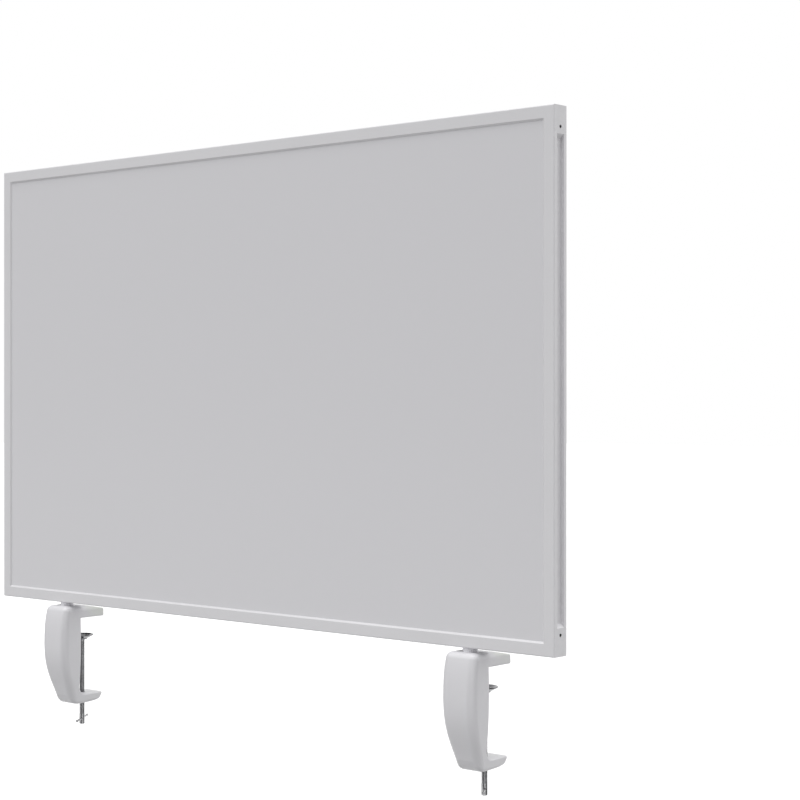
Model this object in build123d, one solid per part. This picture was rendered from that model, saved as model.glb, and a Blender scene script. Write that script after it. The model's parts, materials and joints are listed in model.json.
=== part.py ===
"""Desk divider screen on two screw clamps.

Frame of reference: the origin is on the desk's top edge, midway between the two clamps.
The desk top is the plane Z = 0 under the upper jaws, and the desk's edge is the plane Y = 0.
+X runs along the screen, +Y goes in over the desk and +Z is up. Lengths are millimetres.
"""

import math
import os

from build123d import *

os.makedirs("parts", exist_ok=True)

# Screen panel
screen_width = 800.0
screen_height = 500.0
screen_depth = 20.0
rail_gap = 4.3  # daylight between a clamp's head and the bottom rail
screen_setback = 5.0  # the screen's middle plane stands this far outside the desk's edge

# Frame extrusion, measured in from its outer face
face_width = 13.3
lip_bevel = 1.7
flange_thickness = 1.75
flange_edge = 0.3
outer_rounding = 1.2
groove_width = 11.0
groove_depth = 3.5
groove_floor = 1.4
chamber_height = 3.6
chamber_width = 16.8
channel_depth = 3.6

# Board sandwich held in the frame
board_play = 0.2
writing_sheet_thickness = 0.6
felt_thickness = 3.0

# Corners
corner_block_length = 26.0
corner_block_ramp = 4.0
corner_key_length = 44.0
set_screw_from_end = 19.5
set_screw_diameter = 3.0
set_screw_length = 8.0
set_screw_socket = 1.5
set_screw_hole = 3.4

# Clamps
clamp_spacing = 591.0
jaw_length = 33.8
jaw_root = 14.0
jaw_tip = 9.0
head_flat_end = 8.0
throat_height = 88.3
throat_fillet = 11.0
arm_length = 36.8
arm_thickness = 10.4
arm_tip_slant = 4.6
body_width = 42.0  # more than the casting's greatest width
head_edge_rounding = 6.5
throat_edge_rounding = 1.6
jaw_edge_rounding = 1.5
underside_rounding = 4.5

# Spine sections of the casting: height, half width over the desk's edge, how far out the face
# stands, edge radius, and how much the half width shrinks for each unit further in
spine_sections = (
    (16.0, 18.3, 20.6, 7.2, 0.0),
    (4.0, 19.0, 23.7, 7.2, 0.0),
    (-10.0, 19.4, 25.5, 7.3, 0.0),
    (-24.0, 19.5, 26.2, 7.5, 0.0),
    (-40.0, 19.3, 25.9, 7.5, 0.0),
    (-58.0, 18.5, 23.0, 7.5, 0.01),
    (-76.0, 16.8, 16.8, 7.5, 0.04),
    (-90.0, 15.0, 11.7, 7.5, 0.045),
    (-101.0, 13.6, 8.2, 7.5, 0.03),
)

# Swivel between clamp and rail
neck_diameter = 14.2
stud_thread = 6.0
stud_hole = 6.4
spigot_diameter = 9.9
spigot_length = 12.0
bush_outer = 13.0
bush_bore = 10.0
bush_floor = 1.6
ring_groove_diameter = 8.0
ring_bore = 8.2
ring_outer = 11.3
ring_pocket = 11.6
ring_thickness = 1.0
ring_end_play = 0.1
ring_above_end = 2.4
nut_plate_length = 30.0
slide_in_play = 0.1
bearing_gap = 0.1

# Clamp screw
screw_diameter = 6.0
screw_running_gap = 0.05
screw_hole = 6.4
screw_reach = 17.0  # from the throat wall to the screw's axis
screw_end_drop = 26.5  # below the lower arm
screw_chamfer = 0.6
screw_groove_diameter = 4.8
screw_groove_height = 0.9
desk_gap = 21.3  # between the jaw and the pressure pad as drawn
pad_diameter = 26.0
pad_height = 5.9
pad_rim = 1.5
pad_dish = 1.2
pad_web = 1.4
pad_hub = 12.0
pad_lip = 0.7
bar_diameter = 2.3
bar_length = 46.0
bar_ball = 3.0
bar_above_end = 6.5
bar_heading = 125.0  # degrees from +X, seen from above
insert_diameter = 9.0
insert_cover = 1.7
insert_recess = 0.6

# Worked out from the driving dimensions
screen_bottom = jaw_root + rail_gap
screen_top = screen_bottom + screen_height
screen_y = -screen_setback
chamber_start = groove_depth + groove_floor
channel_start = face_width - channel_depth
board_inset = channel_start + board_play
board_depth = screen_depth - 2 * flange_thickness
throat_floor = -throat_height
arm_under = throat_floor - arm_thickness
pad_top = -desk_gap
pad_bottom = pad_top - pad_height
screw_bottom = arm_under - screw_end_drop
sides = {"left": -1, "right": 1}
ends = {"bottom": 0, "top": 1}


def write(shape, name):
    """Give the shape its name and write its file."""
    shape.label = name
    export_step(shape, f"parts/{name}.step")


def rod(diameter, low, high, x=0.0, y=0.0):
    """An upright cylinder between two heights."""
    return Pos(x, y, (low + high) / 2) * Cylinder(diameter / 2, high - low)


def block(x_range, y_range, z_range):
    """A box between two corners."""
    spans = (x_range, y_range, z_range)
    middle = [(low + high) / 2 for low, high in spans]
    size = [high - low for low, high in spans]
    return Pos(*middle) * Box(*size)


def extrusion_section():
    """The frame's section on the YZ plane: the outer face is at Z = 0 and the inside is below."""
    half = screen_depth / 2
    outline = Rectangle(screen_depth, face_width, align=(Align.CENTER, Align.MAX))
    outline = fillet(outline.vertices().group_by(Axis.Y)[-1], outer_rounding)
    outline = chamfer(
        outline.vertices().group_by(Axis.Y)[0],
        lip_bevel,
        flange_thickness - flange_edge,
    )
    groove = Rectangle(groove_width, groove_depth, align=(Align.CENTER, Align.MAX))
    chamber = Rectangle(chamber_width, chamber_height, align=(Align.CENTER, Align.MAX))
    channel = Rectangle(2 * (half - flange_thickness), channel_depth, align=(Align.CENTER, Align.MAX))
    outline -= groove
    outline -= Pos(0, -chamber_start) * chamber
    outline -= Pos(0, -channel_start) * channel
    return Plane.YZ * outline


def frame_member(length):
    """One length of extrusion along X, mitred at both ends, with its outer face up at Z = 0."""
    half = length / 2
    bar = extrude(extrusion_section(), half, both=True)
    mitre = Plane.XZ * Polygon(
        (-half, 0),
        (half, 0),
        (half - face_width, -face_width),
        (-half + face_width, -face_width),
        align=None,
    )
    return bar & extrude(mitre, screen_depth, both=True)


def at_edge(shape, edge):
    """Move a shape made with its outer face up at Z = 0 to one edge of the screen."""
    middle = (screen_bottom + screen_top) / 2
    half_width = screen_width / 2
    places = {
        "top": Pos(0, screen_y, screen_top),
        "bottom": Pos(0, screen_y, screen_bottom) * Rot(0, 180, 0),
        "left": Pos(-half_width, screen_y, middle) * Rot(0, -90, 0),
        "right": Pos(half_width, screen_y, middle) * Rot(0, 90, 0),
    }
    return places[edge] * shape


def along_edge(shape, edge, offset):
    """Place a shape on one edge, moved along that edge by an offset in X or Z."""
    shift = Pos(0, 0, offset) if edge in sides else Pos(offset, 0, 0)
    return shift * at_edge(shape, edge)


def down(diameter, top, bottom):
    """A cylinder sunk from one depth to another below an outer face at Z = 0."""
    return rod(diameter, -bottom, -top)


def rail(edge):
    """Top or bottom member; the bottom one is drilled for the two pivot studs."""
    member = at_edge(frame_member(screen_width), edge)
    for place in (-1, 1):
        hole = down(set_screw_hole, 0, chamber_start)
        member -= along_edge(hole, edge, place * (screen_width / 2 - set_screw_from_end))
    if edge == "bottom":
        for side in sides.values():
            hole = down(stud_hole, 0, chamber_start)
            member -= along_edge(hole, edge, side * clamp_spacing / 2)
    return member


def stile(edge):
    """Left or right member."""
    member = at_edge(frame_member(screen_height), edge)
    for place in (-1, 1):
        hole = down(set_screw_hole, 0, chamber_start)
        member -= along_edge(hole, edge, place * (screen_height / 2 - set_screw_from_end))
    return member


def corner_origin(end, side):
    """The screen's outer corner, with the signs that point from it into the screen."""
    x = sides[side] * screen_width / 2
    z = screen_top if end == "top" else screen_bottom
    return x, z, -sides[side], -1 if end == "top" else 1


def corner_drills(end, side, diameter, top, bottom):
    """The two set screw axes of one corner as cylinders between two depths."""
    x, z, inward, upward = corner_origin(end, side)
    across = set_screw_from_end * inward
    rise = set_screw_from_end * upward
    first = Pos(x + across, screen_y, z + upward * (top + bottom) / 2)
    second = Pos(x + inward * (top + bottom) / 2, screen_y, z + rise)
    upright = first * Cylinder(diameter / 2, bottom - top)
    level = second * Rot(0, 90, 0) * Cylinder(diameter / 2, bottom - top)
    return upright, level


def corner_plate(end, side, start, thickness, length, width):
    """An L of flat bar inside one corner, its outer faces a given depth below the frame's."""
    x, z, inward, upward = corner_origin(end, side)
    y_range = (screen_y - width / 2, screen_y + width / 2)
    near_x, deep_x, far_x = (x + inward * d for d in (start, start + thickness, length))
    near_z, deep_z, far_z = (z + upward * d for d in (start, start + thickness, length))
    lying = block(sorted((near_x, far_x)), y_range, sorted((near_z, deep_z)))
    standing = block(sorted((near_x, deep_x)), y_range, sorted((near_z, far_z)))
    return lying + standing


def corner_key(end, side):
    """Steel angle in the frame's chamber that the set screws jam against the groove floor."""
    thickness = chamber_height - slide_in_play
    width = chamber_width - slide_in_play
    key = corner_plate(end, side, chamber_start, thickness, corner_key_length, width)
    for drill in corner_drills(end, side, set_screw_diameter, 0, face_width):
        key -= drill
    return key


def corner_block(end, side):
    """Filler that closes the outer groove round one corner and ramps down into it."""
    x, z, inward, upward = corner_origin(end, side)
    width = groove_width - slide_in_play
    length = corner_block_length + corner_block_ramp
    filler = corner_plate(end, side, 0, groove_depth, length, width)
    for drill in corner_drills(end, side, set_screw_hole, -1, groove_depth + 1):
        filler -= drill
    flat, full, deep = corner_block_length, length + 1, groove_depth
    slope = deep * (full - flat) / corner_block_ramp
    points = [(flat, 0), (full, slope), (full, -1), (flat, -1)]
    for turned in (False, True):
        pairs = [(b, a) if turned else (a, b) for a, b in points]
        corners = [(x + inward * a, z + upward * b) for a, b in pairs]
        wedge = make_face(Polyline(*corners, close=True))
        wedge = Pos(0, screen_y, 0) * Rot(90, 0, 0) * extrude(wedge, width, both=True)
        filler -= wedge
    return filler


def corner_set_screws():
    """Eight headless screws, each with its hexagon socket facing out of the groove."""
    start = chamber_start + chamber_height - set_screw_length
    end_depth = chamber_start + chamber_height
    screws = []
    socket = extrude(RegularPolygon(set_screw_socket / 2, 6), 2)
    for end in ends:
        for side in sides:
            x, z, inward, upward = corner_origin(end, side)
            upright, level = corner_drills(end, side, set_screw_diameter, start, end_depth)
            tilt = 0 if upward > 0 else 180
            lower = Pos(x + set_screw_from_end * inward, screen_y, z + upward * start)
            screws.append(upright - lower * Rot(tilt, 0, 0) * socket)
            outer = Pos(x + inward * start, screen_y, z + set_screw_from_end * upward)
            screws.append(level - outer * Rot(0, 90 * inward, 0) * socket)
    return Compound(children=[screw.solids()[0] for screw in screws])


def board(near, far):
    """A full board layer between two distances from the screen's writing face."""
    half = screen_width / 2 - board_inset
    low = screen_bottom + board_inset
    high = screen_top - board_inset
    front = screen_y - board_depth / 2
    return block((-half, half), (front + near, front + far), (low, high))


def nut_plate(side):
    """Threaded steel plate in the bottom rail's chamber that takes a pivot stud."""
    x = sides[side] * clamp_spacing / 2
    low = screen_bottom + chamber_start
    high = low + chamber_height - slide_in_play
    half_length = nut_plate_length / 2
    half_width = (chamber_width - slide_in_play) / 2
    plate = block(
        (x - half_length, x + half_length),
        (screen_y - half_width, screen_y + half_width),
        (low, high),
    )
    return plate - rod(stud_thread, low - 1, high + 1, x, screen_y)


def pivot_stud(side):
    """Turned stud: thread into the rail, white collar as the neck, plain spigot in the clamp."""
    x = sides[side] * clamp_spacing / 2
    shoulder = jaw_root + bearing_gap
    low = shoulder - spigot_length
    thread_top = screen_bottom + chamber_start + chamber_height - slide_in_play
    groove_low = low + ring_above_end
    groove_high = groove_low + ring_thickness + 2 * ring_end_play
    stud = rod(spigot_diameter, low, shoulder, x, screen_y)
    stud += rod(neck_diameter, shoulder, screen_bottom, x, screen_y)
    stud += rod(stud_thread, screen_bottom, thread_top, x, screen_y)
    groove = rod(spigot_diameter + 2, groove_low, groove_high, x, screen_y)
    groove -= rod(ring_groove_diameter, groove_low, groove_high, x, screen_y)
    return stud - groove


def ring_heights():
    """Lower and upper face of the snap ring."""
    low = jaw_root + bearing_gap - spigot_length + ring_above_end + ring_end_play
    return low, low + ring_thickness


def pivot_bush(side):
    """Plain bearing in the clamp's head with an inner pocket for the snap ring."""
    x = sides[side] * clamp_spacing / 2
    low, high = ring_heights()
    bush = rod(bush_outer, bush_floor, jaw_root, x, screen_y)
    bush -= rod(bush_bore, bush_floor, jaw_root, x, screen_y)
    pocket = rod(ring_pocket, low, high, x, screen_y)
    return bush - pocket


def snap_ring(side):
    """Split ring that holds the stud's spigot down in the bush."""
    x = sides[side] * clamp_spacing / 2
    low, high = ring_heights()
    ring = rod(ring_outer, low, high, x, screen_y)
    ring -= rod(ring_bore, low, high, x, screen_y)
    gap = block((x - 1, x + 1), (screen_y, screen_y + ring_outer), (low, high))
    return ring - gap


def spine_section(height, half, out, radius, taper):
    """One level section of the casting's outer form, running on past the jaws."""
    far = 60.0
    near_half = half + taper * out
    far_half = half - taper * far
    corners = [(-near_half, -out), (near_half, -out), (far_half, far), (-far_half, far)]
    shape = make_face(Polyline(*corners, close=True))
    shape = fillet(shape.vertices().group_by(Axis.Y)[0], radius)
    return Pos(0, 0, height) * shape


def side_outline():
    """The clamp casting seen from the side, running out past the spine's outer face."""
    far = -45.0
    tip_low = (arm_length - arm_tip_slant, arm_under + 1.5)
    heel = (-9.9, arm_under + 6.5)
    with BuildLine(Plane.YZ) as line:
        Polyline(
            heel,
            (far, arm_under + 66),
            (far, jaw_root),
            (head_flat_end, jaw_root),
            (jaw_length, jaw_tip),
            (jaw_length, 0),
            (0, 0),
            (0, throat_floor),
            (arm_length, throat_floor),
            tip_low,
        )
        Spline(
            tip_low,
            (14, arm_under - 0.4),
            (2, arm_under - 0.6),
            (-5.4, arm_under + 1.3),
            heel,
            tangents=((-1, -0.3), (-0.45, 0.89)),
        )
    face = make_face(line.line)
    return fillet(face.vertices().sort_by_distance((0, 0, throat_floor))[0], throat_fillet)


def edges_near(shape, points):
    """The edge nearest to each point on the right side and to its mirror image on the left."""
    found = []
    for half, y, z in points:
        for way in (-1, 1):
            edge = shape.edges().sort_by_distance((way * half, y, z))[0]
            if not any(edge.is_same(other) for other in found):
                found.append(edge)
    return found


def casting_form():
    """The clamp casting with its rounded edges, before its bores, on X = 0."""
    body = loft([spine_section(*values) for values in spine_sections])
    body &= extrude(side_outline(), body_width / 2, both=True)
    head_edges = [
        (0, -21.2, jaw_root),
        (17, -19.5, jaw_root),
        (18.4, 0, jaw_root),
    ]
    arm_edges = [
        (19.2, 0, -40),
        (15.8, 3.2, throat_floor + 3.2),
        (14.2, 25, throat_floor),
        (6, arm_length, throat_floor),
        (12.8, arm_length - 2.5, throat_floor - 4.5),
        (6, arm_length - arm_tip_slant, arm_under + 1.5),
    ]
    underside_edges = [(13, 15, arm_under - 0.4)]
    jaw_edges = [
        (19.2, 15, 0),
        (9, jaw_length, 0),
        (19, jaw_length, jaw_tip / 2),
        (9, jaw_length, jaw_tip),
        (18.7, 25, 10.7),
    ]
    body = fillet(edges_near(body, head_edges), head_edge_rounding)
    body = fillet(edges_near(body, jaw_edges), jaw_edge_rounding)
    body = fillet(edges_near(body, underside_edges), underside_rounding)
    return fillet(edges_near(body, arm_edges), throat_edge_rounding)


def clamp_body(side):
    """White C-shaped casting with seats for the swivel bush and the threaded insert."""
    body = casting_form()
    body -= rod(bush_outer, bush_floor, jaw_root + 1, 0, screen_y)
    body -= rod(insert_diameter, arm_under - 1, throat_floor - insert_cover, 0, screw_reach)
    body -= rod(screw_hole, throat_floor - insert_cover - 1, throat_floor + 1, 0, screw_reach)
    return Pos(sides[side] * clamp_spacing / 2, 0, 0) * body


def thread_insert(side):
    """Brass insert pressed into the lower arm, which carries the screw's thread."""
    x = sides[side] * clamp_spacing / 2
    low = arm_under + insert_recess
    high = throat_floor - insert_cover
    insert = rod(insert_diameter, low, high, x, screw_reach)
    return insert - rod(screw_diameter + 2 * screw_running_gap, low, high, x, screw_reach)


def spindle(side):
    """Clamp screw with a cross hole for its bar and a grooved end inside the pad."""
    x = sides[side] * clamp_spacing / 2
    top = pad_top - pad_dish - pad_web - bearing_gap
    groove_high = pad_bottom + pad_lip + ring_end_play
    groove_low = pad_bottom - ring_end_play
    screw = Cylinder(screw_diameter / 2, top - screw_bottom)
    screw = chamfer(screw.edges().group_by(Axis.Z)[0], screw_chamfer)
    screw = Pos(x, screw_reach, (top + screw_bottom) / 2) * screw
    groove = rod(screw_diameter + 2, groove_low, groove_high, x, screw_reach)
    screw -= groove - rod(screw_groove_diameter, groove_low, groove_high, x, screw_reach)
    hole = Cylinder(bar_diameter / 2 + screw_running_gap, 2 * screw_diameter)
    return screw - bar_place(side) * hole


def bar_place(side):
    """The tommy bar's middle, with local Z along the bar."""
    x = sides[side] * clamp_spacing / 2
    middle = Pos(x, screw_reach, screw_bottom + bar_above_end)
    return middle * Rot(0, 0, bar_heading) * Rot(0, 90, 0)


def tommy_bar(side):
    """Thin cross bar with a ball on each end, free to slide through the screw."""
    reach = (bar_length - bar_ball) / 2
    bar = Cylinder(bar_diameter / 2, 2 * reach)
    bar += Pos(0, 0, reach) * Sphere(bar_ball / 2)
    bar += Pos(0, 0, -reach) * Sphere(bar_ball / 2)
    return bar_place(side) * bar


def pressure_pad(side):
    """Dished pressed-steel disc with a hub that turns on the screw's end."""
    x = sides[side] * clamp_spacing / 2
    rim = pad_diameter / 2
    hub = pad_hub / 2
    socket = screw_diameter / 2 + screw_running_gap
    lip = screw_groove_diameter / 2 + ring_end_play
    dish = rim - pad_rim
    roof = -pad_dish - pad_web
    profile = [
        (0, -pad_dish),
        (dish - 2, -pad_dish),
        (dish, 0),
        (rim, 0),
        (rim, -1.2),
        (hub, -4.7),
        (hub, -pad_height),
        (lip, -pad_height),
        (lip, -pad_height + pad_lip),
        (socket, -pad_height + pad_lip),
        (socket, roof),
        (0, roof),
    ]
    face = Plane.XZ * make_face(Polyline(*profile, close=True))
    return Pos(x, screw_reach, pad_top) * revolve(face, Axis.Z)


for edge in ends:
    write(rail(edge), f"{edge}_rail")
for edge in sides:
    write(stile(edge), f"{edge}_stile")
for end in ends:
    for side in sides:
        write(corner_key(end, side), f"corner_key_{end}_{side}")
        write(corner_block(end, side), f"corner_block_{end}_{side}")
write(corner_set_screws(), "corner_set_screws")
felt_start = board_depth - felt_thickness
write(board(0, writing_sheet_thickness), "writing_sheet")
write(board(writing_sheet_thickness, felt_start), "core_board")
write(board(felt_start, board_depth), "felt_sheet")
for side in sides:
    write(nut_plate(side), f"nut_plate_{side}")
    write(pivot_stud(side), f"pivot_stud_{side}")
    write(pivot_bush(side), f"pivot_bush_{side}")
    write(snap_ring(side), f"snap_ring_{side}")
    write(clamp_body(side), f"clamp_body_{side}")
    write(thread_insert(side), f"thread_insert_{side}")
    write(spindle(side), f"spindle_{side}")
    write(tommy_bar(side), f"tommy_bar_{side}")
    write(pressure_pad(side), f"pressure_pad_{side}")
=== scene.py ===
"""Desk divider screen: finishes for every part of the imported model, and its modelled pieces.

The modelled pieces are the felt, the threaded clamp screws, the pressed pads and the corner
set screws. Lengths are metres, in the model's own frame: the origin is on the desk's top edge,
+X runs along the screen and +Y goes in over the desk.
"""

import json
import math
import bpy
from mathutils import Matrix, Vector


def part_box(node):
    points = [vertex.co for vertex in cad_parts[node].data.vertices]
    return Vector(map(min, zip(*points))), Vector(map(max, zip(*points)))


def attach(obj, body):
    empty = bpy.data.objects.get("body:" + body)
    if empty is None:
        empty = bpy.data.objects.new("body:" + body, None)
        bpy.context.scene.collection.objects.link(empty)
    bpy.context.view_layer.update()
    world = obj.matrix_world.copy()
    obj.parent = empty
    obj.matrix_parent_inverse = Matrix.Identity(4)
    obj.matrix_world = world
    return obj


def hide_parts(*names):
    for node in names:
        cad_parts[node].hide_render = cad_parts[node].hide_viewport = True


bl_info = {
    "name": "Desk Divider Screen",
    "version": (1, 0, 0),
    "blender": (4, 5, 0),
    "location": "3D View > Sidebar > Divider",
    "description": "Finishes and modelled pieces of a clamp-on desk divider screen",
    "category": "Object",
}

import bmesh
import bpy
from bpy.props import FloatProperty, FloatVectorProperty, PointerProperty
from mathutils import Matrix, Vector, noise

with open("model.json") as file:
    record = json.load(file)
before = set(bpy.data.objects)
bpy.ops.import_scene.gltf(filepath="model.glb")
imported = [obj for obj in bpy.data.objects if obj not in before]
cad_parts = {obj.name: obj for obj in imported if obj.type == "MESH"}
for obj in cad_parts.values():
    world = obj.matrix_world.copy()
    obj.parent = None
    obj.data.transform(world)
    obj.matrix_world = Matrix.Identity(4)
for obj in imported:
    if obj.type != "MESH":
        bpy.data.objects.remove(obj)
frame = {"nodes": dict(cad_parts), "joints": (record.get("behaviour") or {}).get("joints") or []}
nodes = frame["nodes"]
clamp_sides = ("left", "right")
ends = ("bottom", "top")


# Sizes read from the model


def box_size(node):
    """Length of a node's box along X, Y and Z."""
    low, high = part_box(node)
    return high - low


def box_centre(node):
    """Middle of a node's box."""
    low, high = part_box(node)
    return (low + high) / 2


def joint_axis(name):
    """Direction of one of the model's joints."""
    for joint in frame["joints"]:
        if joint["name"] == name:
            return Vector(joint["axis"]).normalized()
    raise RuntimeError(f"the model has no joint named {name}")


# Settings a user would change


class FinishSettings(bpy.types.PropertyGroup):
    """Colours of the screen and its clamps."""

    frame_white: FloatVectorProperty(
        name="Frame white",
        description="Powder coat on the frame and the corner blocks",
        subtype="COLOR",
        size=3,
        default=(0.77, 0.765, 0.785),
        min=0,
        max=1,
    )
    clamp_white: FloatVectorProperty(
        name="Clamp white",
        description="Powder coat on the clamp castings and their necks",
        subtype="COLOR",
        size=3,
        default=(0.77, 0.765, 0.79),
        min=0,
        max=1,
    )
    writing_white: FloatVectorProperty(
        name="Writing sheet",
        description="Enamel of the writing side",
        subtype="COLOR",
        size=3,
        default=(0.725, 0.72, 0.745),
        min=0,
        max=1,
    )
    felt_green: FloatVectorProperty(
        name="Felt",
        description="Dyed felt of the pinning side",
        subtype="COLOR",
        size=3,
        default=(0.54, 0.78, 0.15),
        min=0,
        max=1,
    )
    # Darker than bare steel: partly the steel's own tone, partly painted shade standing in for
    # darker surroundings in its reflections.
    screw_steel: FloatVectorProperty(
        name="Screw steel",
        description="Bare steel of the clamp screws and their bars",
        subtype="COLOR",
        size=3,
        default=(0.335, 0.335, 0.345),
        min=0,
        max=1,
    )
    # Much darker than bright zinc: painted shade standing in for darker surroundings in the pads'
    # reflections, over the zinc's own grey.
    pad_zinc: FloatVectorProperty(
        name="Pad zinc",
        description="Zinc coat of the pressure pads",
        subtype="COLOR",
        size=3,
        default=(0.2, 0.2, 0.21),
        min=0,
        max=1,
    )


class CastingSettings(bpy.types.PropertyGroup):
    """Surface of the clamp castings."""

    peel: FloatProperty(
        name="Orange peel",
        description="Depth of the powder coat's orange peel on the castings",
        subtype="DISTANCE",
        unit="LENGTH",
        default=0.00005,
        min=0,
        max=0.0003,
    )


class FeltSettings(bpy.types.PropertyGroup):
    """Form of the felt sheet."""

    cell: FloatProperty(
        name="Cell",
        description="Distance between the felt's mesh lines",
        subtype="DISTANCE",
        unit="LENGTH",
        default=0.008,
        min=0.002,
        max=0.05,
    )
    unevenness: FloatProperty(
        name="Unevenness",
        description="How far the felt's surface wanders from flat",
        subtype="DISTANCE",
        unit="LENGTH",
        default=0.00008,
        min=0,
        max=0.001,
    )


class ScrewSettings(bpy.types.PropertyGroup):
    """Thread of the clamp screws."""

    pitch: FloatProperty(
        name="Pitch",
        description="Rise of the thread in one turn",
        subtype="DISTANCE",
        unit="LENGTH",
        default=0.001,
        min=0.0005,
        max=0.003,
    )
    depth: FloatProperty(
        name="Depth",
        description="Height of the thread's ridge",
        subtype="DISTANCE",
        unit="LENGTH",
        default=0.00045,
        min=0.0001,
        max=0.001,
    )
    plain_top: FloatProperty(
        name="Plain top",
        description="Bare length of shank below the pressure pad",
        subtype="DISTANCE",
        unit="LENGTH",
        default=0.0025,
        min=0,
        max=0.05,
    )
    plain_end: FloatProperty(
        name="Plain end",
        description="Bare length of shank above the screw's lower end",
        subtype="DISTANCE",
        unit="LENGTH",
        default=0.012,
        min=0,
        max=0.05,
    )


class CornerScrewSettings(bpy.types.PropertyGroup):
    """Set screws in the frame's corners."""

    from_end: FloatProperty(
        name="From end",
        description="Distance of each screw's axis from the frame's corner",
        subtype="DISTANCE",
        unit="LENGTH",
        default=0.0195,
        min=0.01,
        max=0.05,
    )
    length: FloatProperty(
        name="Length",
        description="Length of each screw",
        subtype="DISTANCE",
        unit="LENGTH",
        default=0.008,
        min=0.003,
        max=0.02,
    )


class StageSettings(bpy.types.PropertyGroup):
    """Camera, floor and light."""

    eye: FloatVectorProperty(
        name="Eye",
        description="Place of the camera",
        subtype="TRANSLATION",
        unit="LENGTH",
        size=3,
        default=(1.3790, -1.3721, 0.2553),
    )
    heading: FloatProperty(
        name="Heading",
        description="Turn of the level view, anticlockwise from +Y",
        subtype="ANGLE",
        unit="ROTATION",
        default=math.radians(40.570),
    )
    lens: FloatProperty(
        name="Lens",
        description="Focal length in millimetres on a 36 mm sensor",
        default=83.232,
        min=10,
        max=300,
    )
    rise: FloatProperty(
        name="Rise",
        description="Vertical shift of the frame in widths",
        default=-0.0059,
    )
    floor_level: FloatProperty(
        name="Floor level",
        description="Height of the floor under a desk",
        subtype="DISTANCE",
        unit="LENGTH",
        default=-0.74,
    )
    room_light: FloatProperty(
        name="Room light",
        description="Strength of the even light from all round",
        default=0.46,
        min=0,
        max=3,
    )
    front_lamp: FloatProperty(
        name="Front lamp",
        description="Strength of the soft light from high in front",
        default=1.5,
        min=0,
        max=20,
    )
    back_lamp: FloatProperty(
        name="Back lamp",
        description="Strength of the soft light from behind, at the right",
        default=0.75,
        min=0,
        max=20,
    )
    top_lamp: FloatProperty(
        name="Top lamp",
        description="Strength of the soft light from overhead",
        default=0.9,
        min=0,
        max=20,
    )
    floor_bounce: FloatProperty(
        name="Floor bounce",
        description="Share of light that the floor gives back to the object",
        default=0.31,
        min=0,
        max=1,
    )


# Fixed sizes, in metres where nothing else is said


crease = math.radians(35)  # faces that meet at more than this keep a sharp edge
felt_waves = 30  # scale of the slow waves in the felt
felt_slice = 4.2  # level of the noise that the waves are read from
coat_peel = (1500, 0.00003)  # fineness and depth of a thin coat's orange peel
casting_peel = 1100  # fineness of the castings' orange peel
tool_marks = 5200  # turned or spun rings in a metre
mark_drift = 40  # how fast turned rings change round the screw

thread_foot = 0.86  # width of the thread's ridge at its foot, in pitches
thread_crest = 0.26  # width of the ridge at its top, in pitches
thread_steps = 28  # sides of one turn
ridge_sink = 0.00004  # how deep the ridge's foot lies in the shank
ridge_play = 0.00001  # how far the ridge's top stays inside the screw's full radius
buried_turns = 0.6  # thread hidden in the shank at each end, in turns
screw_chamfer = 0.0006
cross_hole_radius = 0.0012  # hole for the bar
cross_cutter_reach = 0.01
screw_sides = 64
hole_sides = 32
neck_radius = 0.0024  # groove in the screw that takes the pad's lip
neck_play = 0.0001

pad_hub = 0.006  # radius of the pad's hub
pad_mouth = 0.0026  # radius inside the lip at the pad's mouth
pad_seat = 0.00305  # radius of the room for the screw's end
pad_lip = 0.0007  # height of the lip
pad_seat_drop = 0.0026  # from the rim's top down to the roof over the screw
pad_hub_chamfer = 0.0005
pad_sides = 96
pad_bend = 0.0004  # radius of every bend in the sheet
bend_share = 0.45  # most that a bend may take of a straight length
# Sections of the pad: out from the axis, in from the rim and out from the hub, each with its
# drop from the rim's top
middle_section = ((0, 0.0014), (0.0032, 0.0014), (0.0038, 0.0019))
rim_section = (
    (0.0048, 0.0019),
    (0.0021, 0.0003),
    (0.0015, 0),
    (0.0004, 0),
    (0, 0.0004),
    (0, 0.0011),
    (0.0004, 0.0014),
)
hub_section = ((0.0016, 0.0042), (0, 0.0046))

set_screw_chamfer = 0.0004  # at the inner end
set_screw_mouth = 0.0003  # chamfer at the outer end, round the socket
socket_radius = 0.00087  # from the axis to the hexagon's points
socket_depth = 0.0016
socket_cutter_top = 0.001
socket_sides = 6
set_screw_sides = 36

floor_reach = 30  # from the middle of the floor to its sides
floor_white = 0.9
floor_glow = 0.15
lamp_spread = math.radians(60)
lamp_places = {
    "front_lamp": Vector((-0.2, -1.5, 2.35)),
    "back_lamp": Vector((1.8, 1.75, 1.38)),
    "top_lamp": Vector((0.1, 0.1, 3.0)),
}
sail_radius = 2.2
sail_spans = ((-152, -110), (-58, -10), (42, 88))  # degrees from the camera's direction
sail_columns = 6
sail_rises = range(-18, 73, 15)  # degrees above the origin
sensor_width = 36  # millimetres, as the lens's focal length has it
far_clip = 200


# Colours of the parts that hardly show


key_grey = (0.62, 0.62, 0.6)
core_brown = (0.5, 0.36, 0.2)
bush_black = (0.06, 0.06, 0.065)
ring_grey = (0.3, 0.3, 0.31)
insert_yellow = (0.72, 0.53, 0.24)
set_screw_black = (0.02, 0.02, 0.021)
sail_black = (0.02, 0.02, 0.02)


# Node helpers


def fresh_tree(owner, output):
    """Empty node tree of a material or a world, and its output node."""
    owner.use_nodes = True
    tree = owner.node_tree
    tree.nodes.clear()
    return tree, tree.nodes.new(output)


def feed(tree, value, socket):
    """Join a socket to another one, or give it a number or a colour."""
    if hasattr(value, "links"):
        tree.links.new(value, socket)
    elif isinstance(value, tuple):
        socket.default_value = (*value, 1)
    else:
        socket.default_value = value


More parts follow.
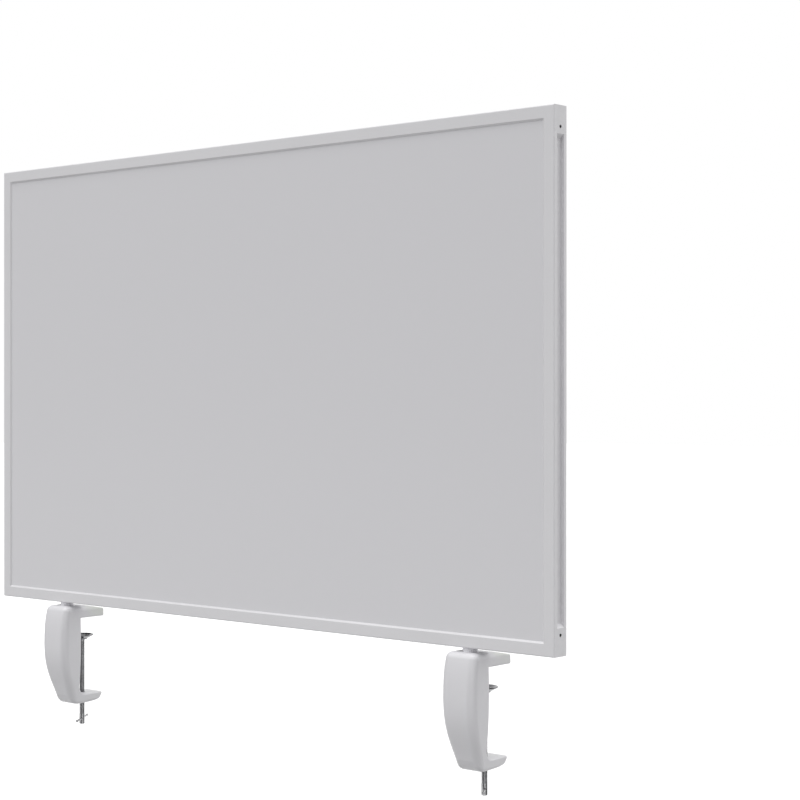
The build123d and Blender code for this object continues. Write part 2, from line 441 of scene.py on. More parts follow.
def maths(tree, operation, *values):
    """Result of a maths node on numbers or sockets."""
    node = tree.nodes.new("ShaderNodeMath")
    node.operation = operation
    for value, socket in zip(values, node.inputs):
        feed(tree, value, socket)
    return node.outputs["Value"]


# Materials


def shade(colour, factor):
    """The same colour, lighter or darker."""
    return tuple(min(1.0, part * factor) for part in colour)


class Finish:
    """A new material with one Principled surface, and short ways to add nodes to it."""

    def __init__(self, name, **constants):
        self.material = bpy.data.materials.new(name)
        self.tree, output = fresh_tree(self.material, "ShaderNodeOutputMaterial")
        self.surface = self.tree.nodes.new("ShaderNodeBsdfPrincipled")
        self.join(self.surface.outputs["BSDF"], output.inputs["Surface"])
        self.place = self.tree.nodes.new("ShaderNodeTexCoord").outputs["Object"]
        for socket, value in constants.items():
            self.surface.inputs[socket.replace("_", " ")].default_value = value

    def join(self, source, target):
        """Link one node's output to another's input."""
        self.tree.links.new(source, target)

    def stretched(self, scale, offset=(0, 0, 0)):
        """Object coordinates scaled differently along X, Y and Z, and then moved."""
        mapping = self.tree.nodes.new("ShaderNodeMapping")
        mapping.inputs["Location"].default_value = offset
        mapping.inputs["Scale"].default_value = scale
        self.join(self.place, mapping.inputs["Vector"])
        return mapping.outputs["Vector"]

    def leaning(self, cell, turn):
        """Object coordinates turned about Y, and then measured in cells of a given size."""
        mapping = self.tree.nodes.new("ShaderNodeMapping")
        mapping.vector_type = "TEXTURE"
        mapping.inputs["Rotation"].default_value = (0, turn, 0)
        mapping.inputs["Scale"].default_value = cell
        self.join(self.place, mapping.inputs["Vector"])
        return mapping.outputs["Vector"]

    def noise(self, scale, detail=2.0, roughness=0.5, place=None):
        """Cloudy pattern; scale is in cycles per metre."""
        node = self.tree.nodes.new("ShaderNodeTexNoise")
        node.inputs["Scale"].default_value = scale
        node.inputs["Detail"].default_value = detail
        node.inputs["Roughness"].default_value = roughness
        self.join(place or self.place, node.inputs["Vector"])
        return node.outputs["Fac"]

    def rings(self, centre):
        """Rings round an upright axis, as spinning leaves on a flat disc."""
        distance = self.tree.nodes.new("ShaderNodeVectorMath")
        distance.operation = "LENGTH"
        flat = self.stretched((1, 1, 0), offset=(-centre.x, -centre.y, 0))
        self.join(flat, distance.inputs[0])
        node = self.tree.nodes.new("ShaderNodeTexNoise")
        node.noise_dimensions = "1D"
        node.inputs["Scale"].default_value = tool_marks
        node.inputs["Detail"].default_value = 3
        self.join(distance.outputs["Value"], node.inputs["W"])
        return node.outputs["Fac"]

    def cells(self, scale, place=None):
        """Distance to the nearest of many scattered points."""
        node = self.tree.nodes.new("ShaderNodeTexVoronoi")
        node.inputs["Scale"].default_value = scale
        self.join(place or self.place, node.inputs["Vector"])
        return node.outputs["Distance"]

    def between(self, pattern, low, high, start=0.3, end=0.7):
        """Number that runs from low to high with a pattern."""
        node = self.tree.nodes.new("ShaderNodeMapRange")
        node.inputs["From Min"].default_value = start
        node.inputs["From Max"].default_value = end
        node.inputs["To Min"].default_value = low
        node.inputs["To Max"].default_value = high
        self.join(pattern, node.inputs["Value"])
        return node.outputs["Result"]

    def blend(self, pattern, first, second):
        """Colour between two colours."""
        node = self.tree.nodes.new("ShaderNodeMix")
        node.data_type = "RGBA"
        self.join(pattern, node.inputs["Factor"])
        colours = [socket for socket in node.inputs if socket.type == "RGBA"]
        for colour, socket in zip((first, second), colours):
            feed(self.tree, colour, socket)
        return next(socket for socket in node.outputs if socket.type == "RGBA")

    def total(self, *patterns):
        """Sum of several patterns with their weights."""
        running = 0
        for pattern, weight in patterns:
            running = maths(self.tree, "MULTIPLY_ADD", pattern, weight, running)
        return running

    def relief(self, pattern, depth, strength=1.0):
        """Bump from a pattern of a given depth, laid over any bump already there."""
        node = self.tree.nodes.new("ShaderNodeBump")
        node.inputs["Strength"].default_value = strength
        node.inputs["Distance"].default_value = depth
        self.join(pattern, node.inputs["Height"])
        earlier = self.surface.inputs["Normal"].links
        if earlier:
            self.join(earlier[0].from_socket, node.inputs["Normal"])
        self.join(node.outputs["Normal"], self.surface.inputs["Normal"])

    def colour(self, socket):
        """Base colour from a node's output."""
        self.join(socket, self.surface.inputs["Base Color"])

    def mottle(self, pattern, colour, low, high, start=0.3, end=0.7):
        """Base colour that wanders between two shades of itself with a pattern."""
        share = self.between(pattern, 0, 1, start, end)
        self.colour(self.blend(share, shade(colour, low), shade(colour, high)))

    def roughness(self, pattern, low, high):
        """Roughness that runs from low to high with a pattern."""
        self.join(self.between(pattern, low, high), self.surface.inputs["Roughness"])


def powder_coat(name, colour, peel_scale, peel_depth):
    """Baked powder coat: fine orange peel, soft sheen and a very slight cloudiness."""
    finish = Finish(name, IOR=1.5, Coat_Weight=0.08, Coat_Roughness=0.25)
    finish.mottle(finish.noise(9, detail=3), colour, 0.985, 1.01)
    finish.roughness(finish.noise(160, detail=3), 0.36, 0.46)
    finish.relief(finish.noise(peel_scale, detail=1.5), peel_depth, 0.5)
    finish.relief(finish.noise(peel_scale * 0.22, detail=1), peel_depth * 1.6, 0.3)
    return finish.material


def writing_enamel(name, colour):
    """Glossy enamel on steel sheet, with the faint waviness of a fired coat."""
    finish = Finish(name, IOR=1.5, Coat_Weight=0.25, Coat_Roughness=0.12)
    finish.mottle(finish.noise(3.5, detail=3), colour, 0.998, 1.002)
    finish.roughness(finish.noise(45, detail=4), 0.29, 0.31)
    finish.relief(finish.noise(180, detail=1), 0.000004, 0.3)
    return finish.material


def pressed_felt(name, colour):
    """Needled felt: fibres lying three ways, tufts between them and a little uneven dye."""
    finish = Finish(name, Roughness=0.95, IOR=1.4, Sheen_Weight=0.25, Sheen_Roughness=0.5)
    finish.surface.inputs["Sheen Tint"].default_value = (*shade(colour, 1.15), 1)
    fibre_cell = (0.0035, 0.0014, 0.0004)
    strands = []
    for turn in (0.35, 1.45, 2.5):
        along = finish.leaning(fibre_cell, turn)
        strands.append(finish.noise(1.0, detail=3, roughness=0.6, place=along))
    fibres = finish.total(*((strand, 1 / len(strands)) for strand in strands))
    tufts = finish.noise(420, detail=4, roughness=0.62)
    dye = finish.noise(14, detail=4)
    fibre_share = finish.between(fibres, 0, 1, 0.38, 0.62)
    fine = finish.blend(fibre_share, shade(colour, 0.86), shade(colour, 1.1))
    tuft_share = finish.between(tufts, 0, 0.35, 0.35, 0.65)
    clumped = finish.blend(tuft_share, fine, shade(colour, 0.9))
    finish.colour(finish.blend(finish.between(dye, 0, 0.12), clumped, shade(colour, 1.08)))
    finish.relief(fibres, 0.00035, 0.6)
    finish.relief(tufts, 0.0005, 0.45)
    return finish.material


def turned_steel(name, colour, centre):
    """Drawn and turned steel with fine rings round an upright axis."""
    finish = Finish(name, Metallic=1.0, Anisotropic=0.35)
    offset = (-centre.x * mark_drift, -centre.y * mark_drift, 0)
    along = finish.stretched((mark_drift, mark_drift, tool_marks), offset)
    rings = finish.noise(1.0, detail=3, place=along)
    stains = finish.noise(240, detail=4)
    finish.mottle(stains, colour, 0.82, 1.12)
    finish.roughness(finish.total((rings, 0.6), (stains, 0.4)), 0.12, 0.25)
    finish.relief(rings, 0.000012, 0.5)
    return finish.material


def pressed_steel(name, colour, centre):
    """Bright zinc on pressed sheet: spun rings round the middle and a patchy passivation."""
    finish = Finish(name, Metallic=1.0)
    rings = finish.rings(centre)
    patches = finish.noise(300, detail=4, roughness=0.6)
    finish.mottle(patches, colour, 0.8, 1.12)
    finish.roughness(finish.total((rings, 0.5), (patches, 0.5)), 0.12, 0.26)
    finish.relief(rings, 0.00002, 0.5)
    return finish.material


def plated_steel(name, colour, low=0.32, high=0.48):
    """Zinc-plated or blackened steel with a fine spangle."""
    finish = Finish(name, Metallic=1.0)
    clouds = finish.noise(120, detail=4)
    finish.mottle(finish.cells(900), colour, 1.08, 0.85, 0.1, 0.7)
    finish.roughness(clouds, low, high)
    finish.relief(clouds, 0.00003, 0.3)
    return finish.material


def moulded_plastic(name, colour, gloss):
    """Injection-moulded plastic with a spark-eroded grain."""
    finish = Finish(name, IOR=1.46)
    grain = finish.noise(2400, detail=2)
    finish.mottle(finish.noise(60, detail=2), colour, 0.97, 1.02)
    finish.roughness(grain, gloss - 0.05, gloss + 0.07)
    finish.relief(grain, 0.00002, 0.4)
    return finish.material


def chip_core(name, colour):
    """Light fibre core: flakes of wood lying flat in the board."""
    finish = Finish(name, Roughness=0.85, IOR=1.4)
    flakes = finish.cells(1.0, place=finish.stretched((260, 900, 420)))
    finish.mottle(flakes, colour, 1.15, 0.7, 0.1, 0.9)
    finish.relief(finish.noise(900, detail=4), 0.0002, 0.5)
    return finish.material


def dress(node, material):
    """Give a CAD node a material over the whole of its surface."""
    mesh = nodes[node].data
    if not mesh.materials:
        mesh.materials.append(None)
    for index in range(len(mesh.materials)):
        mesh.materials[index] = material


# Mesh helpers


def new_piece(name, mesh, material=None):
    """Link a mesh as a new object at the origin."""
    piece = bpy.data.objects.new(name, mesh)
    bpy.context.scene.collection.objects.link(piece)
    if material:
        mesh.materials.clear()
        mesh.materials.append(material)
    return piece


def mesh_from(form, name):
    """Turn an edited form into a mesh, and free it."""
    mesh = bpy.data.meshes.new(name)
    form.to_mesh(mesh)
    form.free()
    return mesh


def bake_modifiers(piece):
    """Replace a piece's mesh by its evaluated one and take its modifiers off."""
    name = piece.name
    depsgraph = bpy.context.evaluated_depsgraph_get()
    mesh = bpy.data.meshes.new_from_object(piece.evaluated_get(depsgraph), depsgraph=depsgraph)
    piece.modifiers.clear()
    old = piece.data
    piece.data = mesh
    bpy.data.meshes.remove(old)
    mesh.name = name


def skin(form, lines):
    """Fill between neighbouring lines of points with four-sided faces."""
    for here, after in zip(lines, lines[1:]):
        for step in range(len(here) - 1):
            form.faces.new((here[step], here[step + 1], after[step + 1], after[step]))


def rim_points(grid):
    """The outer points of a grid, in order round its edge and back to the first."""
    bottom = grid[0][:-1]
    right = [line[-1] for line in grid[:-1]]
    top = grid[-1][:0:-1]
    left = [line[0] for line in grid[:0:-1]]
    return [*bottom, *right, *top, *left, grid[0][0]]


def lathe(profile, centre, steps):
    """Closed mesh turned from (radius, height) points round an upright axis."""
    form = bmesh.new()
    rings = []
    for radius, height in profile:
        if radius == 0:
            rings.append([form.verts.new((centre.x, centre.y, height))])
            continue
        ring = []
        for step in range(steps):
            angle = 2 * math.pi * step / steps
            x = centre.x + radius * math.cos(angle)
            y = centre.y + radius * math.sin(angle)
            ring.append(form.verts.new((x, y, height)))
        rings.append(ring)
    for lower, upper in zip(rings, rings[1:]):
        for step in range(steps):
            after = (step + 1) % steps
            points = [
                lower[step % len(lower)],
                lower[after % len(lower)],
                upper[after % len(upper)],
                upper[step % len(upper)],
            ]
            form.faces.new(list(dict.fromkeys(points)))
    bmesh.ops.recalc_face_normals(form, faces=form.faces)
    mesh = mesh_from(form, "lathe")
    mesh.shade_smooth()
    return mesh


def rounded(profile, radius, bends=4):
    """Profile with each inner corner replaced by a short arc."""
    points = [Vector(point) for point in profile]
    result = [tuple(points[0])]
    for before, corner, after in zip(points, points[1:], points[2:]):
        back = before - corner
        on = after - corner
        reach = min(radius, back.length * bend_share, on.length * bend_share)
        start = corner + back.normalized() * reach
        end = corner + on.normalized() * reach
        for step in range(bends + 1):
            share = step / bends
            first = start.lerp(corner, share)
            second = corner.lerp(end, share)
            result.append(tuple(first.lerp(second, share)))
    result.append(tuple(points[-1]))
    return result


def rod_mesh(radius, start, end, steps):
    """Closed cylinder, or prism of a few sides, between two points."""
    along = end - start
    form = bmesh.new()
    bmesh.ops.create_cone(
        form,
        cap_ends=True,
        segments=steps,
        radius1=radius,
        radius2=radius,
        depth=along.length,
    )
    turn = along.to_track_quat("Z", "Y").to_matrix().to_4x4()
    form.transform(Matrix.Translation((start + end) / 2) @ turn)
    return mesh_from(form, "rod")


def cut(piece, mesh):
    """Take a closed mesh out of a piece."""
    tool = new_piece(f"{piece.name}_cutter", mesh)
    modifier = piece.modifiers.new("cut", "BOOLEAN")
    modifier.operation = "DIFFERENCE"
    modifier.solver = "EXACT"
    modifier.object = tool
    bake_modifiers(piece)
    bpy.data.objects.remove(tool)
    bpy.data.meshes.remove(mesh)


def sharpen(piece):
    """Smooth shading, with sharp edges where faces meet at more than the crease angle."""
    piece.data.shade_smooth()
    form = bmesh.new()
    form.from_mesh(piece.data)
    for edge in form.edges:
        if len(edge.link_faces) == 2 and edge.calc_face_angle() > crease:
            edge.smooth = False
    form.to_mesh(piece.data)
    form.free()


# Geometry node trees


def new_tree(name, *inputs):
    """Tree with named inputs, given as a name, a kind of socket and a default."""
    tree = bpy.data.node_groups.new(name, "GeometryNodeTree")
    for title, kind, default in inputs:
        socket = tree.interface.new_socket(title, in_out="INPUT", socket_type=f"NodeSocket{kind}")
        if default is not None:
            socket.default_value = default
    tree.interface.new_socket("Geometry", in_out="OUTPUT", socket_type="NodeSocketGeometry")
    return tree


def finish_tree(tree, geometry, material):
    """End a tree: real geometry with one material."""
    real = tree.nodes.new("GeometryNodeRealizeInstances")
    tree.links.new(geometry, real.inputs["Geometry"])
    coated = tree.nodes.new("GeometryNodeSetMaterial")
    tree.links.new(real.outputs["Geometry"], coated.inputs["Geometry"])
    tree.links.new(material, coated.inputs["Material"])
    result = tree.nodes.new("NodeGroupOutput")
    tree.links.new(coated.outputs["Geometry"], result.inputs["Geometry"])


def set_inputs(modifier, **values):
    """Set a modifier's tree inputs, found by their names with underscores for spaces."""
    sockets = {}
    for item in modifier.node_group.interface.items_tree:
        if item.item_type == "SOCKET" and item.in_out == "INPUT":
            sockets[item.name.replace(" ", "_")] = item.identifier
    for name, value in values.items():
        modifier[sockets[name]] = value


def thread_tree():
    """Helical ridge on a shank: a trapezium swept along a spiral, joined to the shank."""
    tree = new_tree(
        "screw_thread",
        ("Shank", "Geometry", None),
        ("Axis", "Vector", None),
        ("Turns", "Float", 80.0),
        ("Pitch", "Float", 0.001),
        ("Crest radius", "Float", 0.003),
        ("Depth", "Float", 0.00045),
        ("Material", "Material", None),
    )
    add = tree.nodes.new
    join = tree.links.new
    given = add("NodeGroupInput").outputs
    middle = maths(tree, "MULTIPLY_ADD", given["Depth"], -0.5, given["Crest radius"])
    height = maths(tree, "MULTIPLY", given["Turns"], given["Pitch"])
    foot = maths(tree, "MULTIPLY", given["Pitch"], thread_foot)
    crest = maths(tree, "MULTIPLY", given["Pitch"], thread_crest)
    spiral = add("GeometryNodeCurveSpiral")
    spiral.inputs["Resolution"].default_value = thread_steps
    spiral.inputs["Reverse"].default_value = True
    join(given["Turns"], spiral.inputs["Rotations"])
    join(middle, spiral.inputs["Start Radius"])
    join(middle, spiral.inputs["End Radius"])
    join(height, spiral.inputs["Height"])
    upright = add("GeometryNodeSetCurveNormal")
    upright.mode = "Z_UP"
    join(spiral.outputs["Curve"], upright.inputs["Curve"])
    ridge = add("GeometryNodeCurvePrimitiveQuadrilateral")
    ridge.mode = "TRAPEZOID"
    join(given["Depth"], ridge.inputs["Height"])
    join(foot, ridge.inputs["Bottom Width"])
    join(crest, ridge.inputs["Top Width"])
    ridge.inputs["Offset"].default_value = 0
    turned = add("GeometryNodeTransform")
    turned.inputs["Rotation"].default_value = (0, 0, math.radians(-90))
    join(ridge.outputs["Curve"], turned.inputs["Geometry"])
    swept = add("GeometryNodeCurveToMesh")
    swept.inputs["Fill Caps"].default_value = True
    join(upright.outputs["Curve"], swept.inputs["Curve"])
    join(turned.outputs["Geometry"], swept.inputs["Profile Curve"])
    placed = add("GeometryNodeTransform")
    join(swept.outputs["Mesh"], placed.inputs["Geometry"])
    join(given["Axis"], placed.inputs["Translation"])
    faceted = add("GeometryNodeSetShadeSmooth")
    faceted.inputs["Shade Smooth"].default_value = False
    join(placed.outputs["Geometry"], faceted.inputs["Geometry"])
    both = add("GeometryNodeJoinGeometry")
    join(faceted.outputs["Geometry"], both.inputs["Geometry"])
    join(given["Shank"], both.inputs["Geometry"])
    finish_tree(tree, both.outputs["Geometry"], given["Material"])
    return tree


def corner_screw_tree():
    """One screw repeated at the eight corner holes, its socket facing out of the frame."""
    tree = new_tree(
        "corner_screws",
        ("Screw", "Geometry", None),
        ("Centre", "Vector", None),
        ("Width", "Float", 0.8),
        ("Height", "Float", 0.5),
        ("From end", "Float", 0.0195),
        ("Recess", "Float", 0.0025),
        ("Material", "Material", None),
    )
    add = tree.nodes.new
    join = tree.links.new
    given = add("NodeGroupInput").outputs

    def shortened(length, by):
        """A length less a distance at both of its ends."""
        return maths(tree, "MULTIPLY_ADD", given[by], -2, given[length])

    both = add("GeometryNodeJoinGeometry")
    for across, up, facing in (
        (shortened("Width", "From end"), shortened("Height", "Recess"), (0, 1, 0)),
        (shortened("Width", "Recess"), shortened("Height", "From end"), (1, 0, 0)),
    ):
        holes = add("GeometryNodeMeshGrid")
        holes.inputs["Vertices X"].default_value = 2
        holes.inputs["Vertices Y"].default_value = 2
        join(across, holes.inputs["Size X"])
        join(up, holes.inputs["Size Y"])
        place = add("GeometryNodeInputPosition")
        side = add("ShaderNodeVectorMath")
        side.operation = "SIGN"
        join(place.outputs["Position"], side.inputs[0])
        outward = add("ShaderNodeVectorMath")
        outward.operation = "MULTIPLY"
        outward.inputs[1].default_value = facing
        join(side.outputs["Vector"], outward.inputs[0])
        turn = add("FunctionNodeAlignRotationToVector")
        turn.axis = "Z"
        join(outward.outputs["Vector"], turn.inputs["Vector"])
        repeated = add("GeometryNodeInstanceOnPoints")
        join(holes.outputs["Mesh"], repeated.inputs["Points"])
        join(given["Screw"], repeated.inputs["Instance"])
        join(turn.outputs["Rotation"], repeated.inputs["Rotation"])
        join(repeated.outputs["Instances"], both.inputs["Geometry"])
    upright = add("GeometryNodeTransform")
    upright.inputs["Rotation"].default_value = (math.radians(90), 0, 0)
    join(both.outputs["Geometry"], upright.inputs["Geometry"])
    join(given["Centre"], upright.inputs["Translation"])
    finish_tree(tree, upright.outputs["Geometry"], given["Material"])
    return tree


# Operators


class DIVIDER_OT_frame(bpy.types.Operator):
    """Coat the frame's four members and finish their corner blocks, keys and plates"""

    bl_idname = "divider.frame"
    bl_label = "Frame"

    def execute(self, context):
        white = tuple(context.scene.divider_finishes.frame_white)
        coat = powder_coat("frame_powder_coat", white, *coat_peel)
        for node in ("top_rail", "bottom_rail", "left_stile", "right_stile"):
            dress(node, coat)
        filler = moulded_plastic("corner_block_plastic", shade(white, 0.99), gloss=0.42)
        zinc = plated_steel("key_zinc", key_grey)
        for side in clamp_sides:
            for end in ends:
                dress(f"corner_block_{end}_{side}", filler)
                dress(f"corner_key_{end}_{side}", zinc)
            dress(f"nut_plate_{side}", zinc)
        return {"FINISHED"}


class DIVIDER_OT_boards(bpy.types.Operator):
    """Finish the writing sheet and the core, and lay the felt on the back"""

    bl_idname = "divider.boards"
    bl_label = "Boards"

    def execute(self, context):
        finishes = context.scene.divider_finishes
        dress("writing_sheet", writing_enamel("writing_enamel", tuple(finishes.writing_white)))
        dress("core_board", chip_core("core_flakes", core_brown))
        low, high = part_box("felt_sheet")
        mesh = self.felt_mesh(low, high, context.scene.divider_felt)
        felt = new_piece("green_felt", mesh, pressed_felt("green_felt", tuple(finishes.felt_green)))
        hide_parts("felt_sheet")
        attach(felt, "screen")
        return {"FINISHED"}

    def felt_mesh(self, low, high, settings):
        """Closed sheet whose face wanders a little from flat inside its straight edges."""
        size = high - low
        columns = round(size.x / settings.cell)
        rows = round(size.z / settings.cell)
        form = bmesh.new()
        grids = []
        for level in (low.y, high.y):
            grid = []
            for row in range(rows + 1):
                line = []
                for column in range(columns + 1):
                    x = low.x + size.x * column / columns
                    z = low.z + size.z * row / rows
                    y = level
                    inside = 0 < row < rows and 0 < column < columns
                    if level == high.y and inside:
                        point = Vector((x * felt_waves, z * felt_waves, felt_slice))
                        y -= settings.unevenness * (1 + noise.noise(point))
                    line.append(form.verts.new((x, y, z)))
                grid.append(line)
            grids.append(grid)
            skin(form, grid)
        skin(form, [rim_points(grid) for grid in grids])
        bmesh.ops.recalc_face_normals(form, faces=form.faces)
        return mesh_from(form, "green_felt")


class DIVIDER_OT_castings(bpy.types.Operator):
    """Coat the clamps' castings and necks, and finish the small parts inside them"""

    bl_idname = "divider.castings"
    bl_label = "Clamp castings"

    def execute(self, context):
        settings = context.scene.divider_castings
        white = tuple(context.scene.divider_finishes.clamp_white)
        finishes = {
            "clamp_body": powder_coat("casting_powder_coat", white, casting_peel, settings.peel),
            # The necks get the castings' coat painted 1.2 times lighter: painted light standing in
            # for light reaching the narrow gap under the rail.
            "pivot_stud": powder_coat("neck_powder_coat", shade(white, 1.2), *coat_peel),
            "pivot_bush": moulded_plastic("bush_plastic", bush_black, gloss=0.5),
            "snap_ring": plated_steel("ring_steel", ring_grey, low=0.25, high=0.4),
            "thread_insert": plated_steel("insert_brass", insert_yellow, low=0.25, high=0.4),
        }
        for side in clamp_sides:
            for node, finish in finishes.items():
                dress(f"{node}_{side}", finish)
        return {"FINISHED"}


class DIVIDER_OT_screws(bpy.types.Operator):
    """Thread the clamp screws, and finish their bars and pressure pads"""

    bl_idname = "divider.screws"
    bl_label = "Clamp screws"

    def execute(self, context):
        settings = context.scene.divider_screws
        finishes = context.scene.divider_finishes
        tree = thread_tree()
        for side in clamp_sides:
            centre = box_centre(f"spindle_{side}")
            steel = turned_steel(f"screw_steel_{side}", tuple(finishes.screw_steel), centre)
            self.threaded_screw(side, settings, tree, steel)
            dress(f"tommy_bar_{side}", steel)
            self.pad(side, tuple(finishes.pad_zinc))
        return {"FINISHED"}

    def threaded_screw(self, side, settings, tree, steel):
        """Shank with a turned neck for the pad, a cross hole for the bar and a helical thread."""
        node = f"spindle_{side}"
        low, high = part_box(node)
        centre = box_centre(node)
        pad_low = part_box(f"pressure_pad_{side}")[0].z
        crest = (high.x - low.x) / 2
        root = crest - settings.depth + ridge_sink
        top = pad_low - settings.plain_top
        end = low.z + settings.plain_end
        neck_low = pad_low - neck_play
        neck_high = pad_low + pad_lip + neck_play
        profile = [
            (0, low.z),
            (crest - screw_chamfer, low.z),
            (crest, low.z + screw_chamfer),
            (crest, end - settings.depth),
            (root, end),
            (root, top),
            (crest, top + settings.depth),
            (crest, neck_low - neck_play),
            (neck_radius, neck_low),
            (neck_radius, neck_high),
            (crest, neck_high + neck_play),
            (crest, high.z),
            (0, high.z),
        ]
        screw = new_piece(f"threaded_screw_{side}", lathe(profile, centre, screw_sides))
        bar = box_centre(f"tommy_bar_{side}")
        across = joint_axis(f"bar_slide_{side}") * cross_cutter_reach
        cut(screw, rod_mesh(cross_hole_radius, bar - across, bar + across, hole_sides))
        sharpen(screw)
        thread = screw.modifiers.new("thread", "NODES")
        thread.node_group = tree
        hidden = settings.depth + buried_turns * settings.pitch
        set_inputs(
            thread,
            Axis=(centre.x, centre.y, end - hidden),
            Turns=(top - end + 2 * hidden) / settings.pitch,
            Pitch=settings.pitch,
            Crest_radius=crest - ridge_play,
            Depth=settings.depth,
            Material=steel,
        )
        bake_modifiers(screw)
        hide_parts(node)
        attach(screw, f"screw_{side}")

    def pad(self, side, colour):
        """Pressed disc with a rolled rim, a stepped dish and a crimped hub."""
        node = f"pressure_pad_{side}"
        low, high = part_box(node)
        centre = box_centre(node)
        rim = (high.x - low.x) / 2
        top = high.z
        profile = [
            *((out, top - down) for out, down in middle_section),
            *((rim - inward, top - down) for inward, down in rim_section),
            *((pad_hub + out, top - down) for out, down in hub_section),
            (pad_hub, low.z + pad_hub_chamfer),
            (pad_hub - pad_hub_chamfer, low.z),
            (pad_mouth, low.z),
            (pad_mouth, low.z + pad_lip),
            (pad_seat, low.z + pad_lip),
            (pad_seat, top - pad_seat_drop),
            (0, top - pad_seat_drop),
        ]
        steel = pressed_steel(f"pad_zinc_{side}", colour, centre)
        mesh = lathe(rounded(profile, pad_bend), centre, pad_sides)
        pad = new_piece(f"pressed_pad_{side}", mesh, steel)
        sharpen(pad)
        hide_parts(node)
        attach(pad, f"pad_{side}")


class DIVIDER_OT_corner_screws(bpy.types.Operator):
    """Fit the eight set screws that lock the frame's corners"""

    bl_idname = "divider.corner_screws"
    bl_label = "Corner screws"

    def execute(self, context):
        settings = context.scene.divider_corner_screws
        low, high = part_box("top_rail")
        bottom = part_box("bottom_rail")[0].z
        radius = box_size("corner_set_screws").y / 2
        screw = new_piece("corner_screws", self.socket_screw(radius, settings.length))
        repeat = screw.modifiers.new("repeat", "NODES")
        repeat.node_group = corner_screw_tree()
        set_inputs(
            repeat,
            Centre=(0, (low.y + high.y) / 2, (bottom + high.z) / 2),
            Width=high.x - low.x,
            Height=high.z - bottom,
            From_end=settings.from_end,
            Recess=high.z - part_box("corner_set_screws")[1].z,
            Material=plated_steel("set_screw_black", set_screw_black, low=0.35, high=0.5),
        )
        bake_modifiers(screw)
        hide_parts("corner_set_screws")
        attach(screw, "screen")
        return {"FINISHED"}

    def socket_screw(self, radius, length):
        """Headless screw below the origin, with a chamfered mouth and a hexagon socket."""
        profile = [
            (0, -length),
            (radius - set_screw_chamfer, -length),
            (radius, -length + set_screw_chamfer),
            (radius, -set_screw_mouth),
            (radius - set_screw_mouth, 0),
            (0, 0),
        ]
        middle = Vector((0, 0, 0))
        plain = new_piece("plain_set_screw", lathe(profile, middle, set_screw_sides))
        bottom = Vector((0, 0, -socket_depth))
        above = Vector((0, 0, socket_cutter_top))
        cut(plain, rod_mesh(socket_radius, bottom, above, socket_sides))
        sharpen(plain)
        mesh = plain.data
        bpy.data.objects.remove(plain)
        return mesh


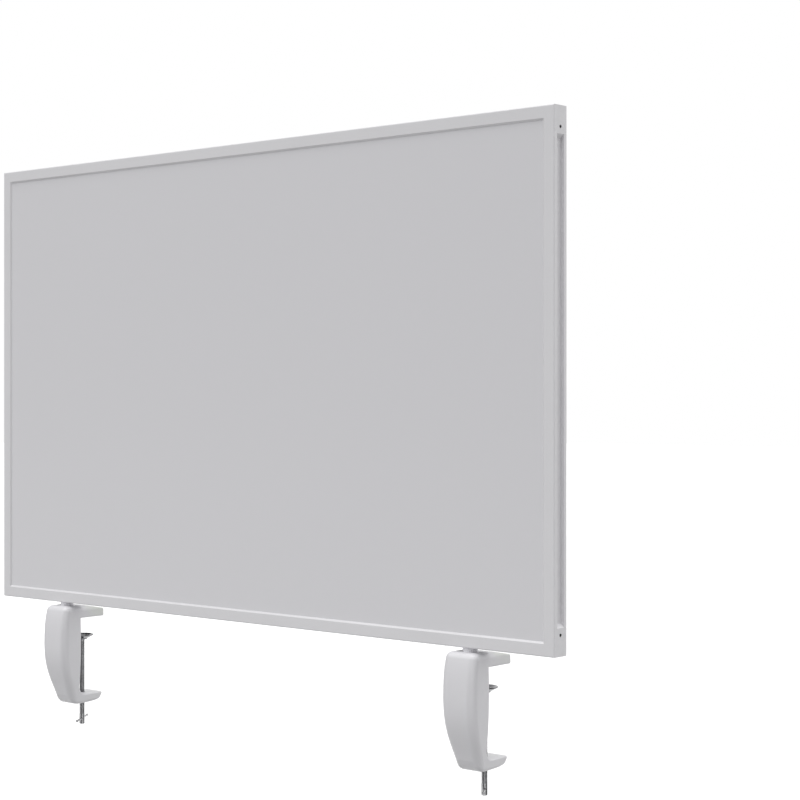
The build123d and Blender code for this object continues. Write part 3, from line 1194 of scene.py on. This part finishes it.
class DIVIDER_OT_stage(bpy.types.Operator):
    """Set the floor, the light and the camera"""

    bl_idname = "divider.stage"
    bl_label = "Stage"

    def execute(self, context):
        settings = context.scene.divider_stage
        self.floor(settings)
        self.room(context, settings)
        self.sails(settings)
        self.camera(context, settings)
        return {"FINISHED"}

    def show_or_light(self, tree, output, light, shown):
        """Show one shader to the camera, mirrors and clear glass, and light with the other."""
        path = tree.nodes.new("ShaderNodeLightPath").outputs
        seen = path["Is Camera Ray"]
        for ray in ("Is Glossy Ray", "Is Transmission Ray"):
            seen = maths(tree, "MAXIMUM", seen, path[ray])
        choice = tree.nodes.new("ShaderNodeMixShader")
        for source, socket in zip((seen, light, shown), choice.inputs):
            tree.links.new(source, socket)
        tree.links.new(choice.outputs["Shader"], output.inputs["Surface"])

    def floor(self, settings):
        """Pale floor that shows white, keeps a shadow, and gives back less light than it shows."""
        form = bmesh.new()
        bmesh.ops.create_grid(form, x_segments=8, y_segments=8, size=floor_reach)
        form.transform(Matrix.Translation((0, 0, settings.floor_level)))
        material = bpy.data.materials.new("studio_floor")
        tree, output = fresh_tree(material, "ShaderNodeOutputMaterial")
        bounce = tree.nodes.new("ShaderNodeBsdfDiffuse")
        bounce.inputs["Color"].default_value = (*[settings.floor_bounce] * 3, 1)
        pale = tree.nodes.new("ShaderNodeBsdfDiffuse")
        pale.inputs["Color"].default_value = (*[floor_white] * 3, 1)
        glow = tree.nodes.new("ShaderNodeEmission")
        glow.inputs["Strength"].default_value = floor_glow
        shown = tree.nodes.new("ShaderNodeAddShader")
        tree.links.new(pale.outputs["BSDF"], shown.inputs[0])
        tree.links.new(glow.outputs["Emission"], shown.inputs[1])
        self.show_or_light(tree, output, bounce.outputs["BSDF"], shown.outputs["Shader"])
        new_piece("studio_floor", mesh_from(form, "studio_floor"), material)

    def room(self, context, settings):
        """Even light from all round, white where it is seen, and three broad lamps."""
        world = bpy.data.worlds.new("studio")
        context.scene.world = world
        tree, output = fresh_tree(world, "ShaderNodeOutputWorld")
        skies = []
        for strength in (settings.room_light, 1.0):
            sky = tree.nodes.new("ShaderNodeBackground")
            sky.inputs["Color"].default_value = (1, 1, 1, 1)
            sky.inputs["Strength"].default_value = strength
            skies.append(sky.outputs["Background"])
        self.show_or_light(tree, output, *skies)
        for name, place in lamp_places.items():
            light = bpy.data.lights.new(name, "SUN")
            light.angle = lamp_spread
            light.energy = getattr(settings, name)
            lamp = bpy.data.objects.new(name, light)
            lamp.location = place
            lamp.rotation_euler = (-place).to_track_quat("-Z", "Y").to_euler()
            context.scene.collection.objects.link(lamp)

    def sails(self, settings):
        """Dark sails round the room that only reflections show, for streaks in the steel."""
        form = bmesh.new()
        for start, end in sail_spans:
            columns = []
            for step in range(sail_columns + 1):
                turn = start + (end - start) * step / sail_columns - 90
                heading = settings.heading + math.radians(turn)
                column = []
                for rise in sail_rises:
                    out = sail_radius * math.cos(math.radians(rise))
                    up = sail_radius * math.sin(math.radians(rise))
                    place = (out * math.cos(heading), out * math.sin(heading), up)
                    column.append(form.verts.new(place))
                columns.append(column)
            skin(form, columns)
        cloth = Finish("flag_cloth", Roughness=1.0)
        cloth.surface.inputs["Base Color"].default_value = (*sail_black, 1)
        panels = new_piece("studio_flags", mesh_from(form, "studio_flags"), cloth.material)
        panels.visible_camera = False
        panels.visible_diffuse = False
        panels.visible_shadow = False
        panels.visible_transmission = False

    def camera(self, context, settings):
        """Level view with the frame's small shift, as the photograph was taken."""
        data = bpy.data.cameras.new("photograph")
        data.lens = settings.lens
        data.sensor_width = sensor_width
        data.shift_y = settings.rise
        data.clip_end = far_clip
        camera = bpy.data.objects.new("photograph", data)
        camera.location = settings.eye
        camera.rotation_euler = (math.radians(90), 0, settings.heading)
        context.scene.collection.objects.link(camera)
        context.scene.camera = camera
        context.scene.view_settings.view_transform = "Standard"


class DIVIDER_PT_panel(bpy.types.Panel):
    """Settings and steps of the divider screen"""

    bl_idname = "DIVIDER_PT_panel"
    bl_label = "Desk Divider Screen"
    bl_space_type = "VIEW_3D"
    bl_region_type = "UI"
    bl_category = "Divider"

    def draw(self, context):
        for group, steps in panel_rows:
            settings = getattr(context.scene, group)
            part = self.layout.box()
            for name in settings.__annotations__:
                part.prop(settings, name)
            for step in steps:
                part.operator(step.bl_idname)


settings_groups = {
    "divider_finishes": FinishSettings,
    "divider_castings": CastingSettings,
    "divider_felt": FeltSettings,
    "divider_screws": ScrewSettings,
    "divider_corner_screws": CornerScrewSettings,
    "divider_stage": StageSettings,
}
steps_in_order = (
    DIVIDER_OT_frame,
    DIVIDER_OT_boards,
    DIVIDER_OT_castings,
    DIVIDER_OT_screws,
    DIVIDER_OT_corner_screws,
    DIVIDER_OT_stage,
)
panel_rows = (
    ("divider_finishes", (DIVIDER_OT_frame,)),
    ("divider_castings", (DIVIDER_OT_castings,)),
    ("divider_felt", (DIVIDER_OT_boards,)),
    ("divider_screws", (DIVIDER_OT_screws,)),
    ("divider_corner_screws", (DIVIDER_OT_corner_screws,)),
    ("divider_stage", (DIVIDER_OT_stage,)),
)


def register():
    for kind in (*settings_groups.values(), *steps_in_order, DIVIDER_PT_panel):
        bpy.utils.register_class(kind)
    for name, kind in settings_groups.items():
        setattr(bpy.types.Scene, name, PointerProperty(type=kind))


def unregister():
    for name in settings_groups:
        delattr(bpy.types.Scene, name)
    for kind in (DIVIDER_PT_panel, *reversed(steps_in_order), *reversed(settings_groups.values())):
        bpy.utils.unregister_class(kind)


def main():
    """Build everything in order."""
    register()
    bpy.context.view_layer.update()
    bpy.ops.divider.frame()
    bpy.ops.divider.boards()
    bpy.ops.divider.castings()
    bpy.ops.divider.screws()
    bpy.ops.divider.corner_screws()
    bpy.ops.divider.stage()
    bpy.context.view_layer.update()


if __name__ == "__main__":
    main()
